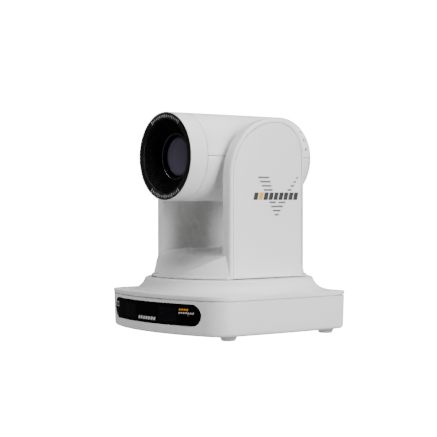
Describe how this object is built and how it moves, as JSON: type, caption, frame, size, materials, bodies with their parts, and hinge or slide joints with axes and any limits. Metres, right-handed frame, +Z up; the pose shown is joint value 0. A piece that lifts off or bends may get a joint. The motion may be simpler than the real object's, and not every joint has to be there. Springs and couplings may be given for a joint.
{
  "type": "ptz camera",
  "caption": "Pan-tilt-zoom conference camera: barrel head between two arms on a turntable over a wide bowed base.",
  "frame": {"origin": "mouth of the tripod socket on the underside of the base, on the pan axis", "axes": "+Z up along the pan axis, -Y towards what the lens looks at, +X to the right of somebody facing the lens"},
  "size_m": [0.1508, 0.1525, 0.1732],
  "materials": {
    "white_shell": "satin moulded ABS",
    "smoked_window": "polished smoked polycarbonate",
    "receiver_window": "infra-red clear window",
    "light_pipe": "moulded light pipe",
    "rubber": "moulded rubber",
    "plated_steel": "zinc plated",
    "brass": "turned",
    "board_green": "solder mask",
    "socket_metal": "nickel plated",
    "socket_black": "moulded nylon",
    "switch_white": "moulded",
    "pulley_aluminium": "turned",
    "motor_black": "black coated steel can",
    "lens_black": "fine matt moulded",
    "bright_ring": "turned and polished",
    "lens_glass": "coated optical glass"
  },
  "bodies": {
    "base": {"base_tub": "white_shell", "base_top_cover": "white_shell", "front_window_strip": "smoked_window", "ir_receiver_windows": "receiver_window", "status_light": "light_pipe", "rubber_feet": "rubber", "bottom_plate": "plated_steel", "bottom_plate_screws": "plated_steel", "tripod_insert": "brass", "main_board": "board_green", "board_standoffs": "plated_steel", "lan_socket": "socket_metal", "usb_socket": "socket_metal", "hdmi_socket": "socket_metal", "dc_jack": "socket_black", "sdi_socket": "socket_metal", "serial_in_socket": "socket_black", "serial_out_socket": "socket_black", "audio_jack": "socket_black", "connector_plate": "plated_steel", "rotary_switch_body": "socket_black", "pan_bearing": "plated_steel", "pan_belt": "rubber", "pan_motor": "motor_black", "pan_motor_bracket": "plated_steel"},
    "format_switch": {"rotary_switch_rotor": "switch_white"},
    "pan_motor_rotor": {"pan_motor_pulley": "pulley_aluminium"},
    "yoke": {"turntable_shell": "white_shell", "right_arm_shell": "white_shell", "right_arm_cover": "white_shell", "left_arm_shell": "white_shell", "left_arm_cover": "white_shell", "pan_spindle": "plated_steel", "pan_pulley": "pulley_aluminium", "yoke_frame": "plated_steel", "yoke_frame_screws": "plated_steel", "tilt_bearings": "plated_steel", "tilt_motor": "motor_black", "tilt_belt": "rubber"},
    "tilt_motor_rotor": {"tilt_motor_pulley": "pulley_aluminium"},
    "head": {"head_upper_shell": "white_shell", "head_lower_shell": "white_shell", "front_bezel": "white_shell", "lens_face_ring": "lens_black", "lens_hood": "lens_black", "lens_bright_ring": "bright_ring", "front_glass": "lens_glass", "lens_barrel": "lens_black", "zoom_block": "lens_black", "guide_rods": "plated_steel", "sensor_board": "board_green", "head_chassis": "plated_steel", "tilt_shafts": "plated_steel", "tilt_pulley": "pulley_aluminium"},
    "zoom_group": {"zoom_lens_group": "lens_black"},
    "focus_group": {"focus_lens_group": "lens_black"}
  },
  "joints": [
    {"name": "pan", "type": "hinge", "parent": "base", "child": "yoke", "pos_m": [0, 0, 0.04], "axis": [0, 0, 1], "range_deg": [-170, 170]},
    {"name": "tilt", "type": "hinge", "parent": "yoke", "child": "head", "pos_m": [0, 0, 0.1349], "axis": [-1, 0, 0], "range_deg": [-30, 90]},
    {"name": "pan_motor_turn", "type": "hinge", "parent": "base", "child": "pan_motor_rotor", "pos_m": [0, -0.046, 0.029], "axis": [0, 0, 1], "range_deg": [-630, 630]},
    {"name": "tilt_motor_turn", "type": "hinge", "parent": "yoke", "child": "tilt_motor_rotor", "pos_m": [0.0435, 0.025, 0.0515], "axis": [-1, 0, 0], "range_deg": [-90, 260]},
    {"name": "zoom_travel", "type": "slide", "parent": "head", "child": "zoom_group", "axis": [0, 1, 0], "range_m": [0, 0.01]},
    {"name": "focus_travel", "type": "slide", "parent": "head", "child": "focus_group", "axis": [0, 1, 0], "range_m": [-0.004, 0.003]},
    {"name": "switch_turn", "type": "hinge", "parent": "base", "child": "format_switch", "pos_m": [-0.021, 0.056, 0.0141], "axis": [0, 1, 0], "continuous": true}
  ],
  "couplings": [
    {"joint": "pan_motor_turn", "follows": "pan", "ratio": 3.6667},
    {"joint": "tilt_motor_turn", "follows": "tilt", "ratio": 2.8}
  ]
}
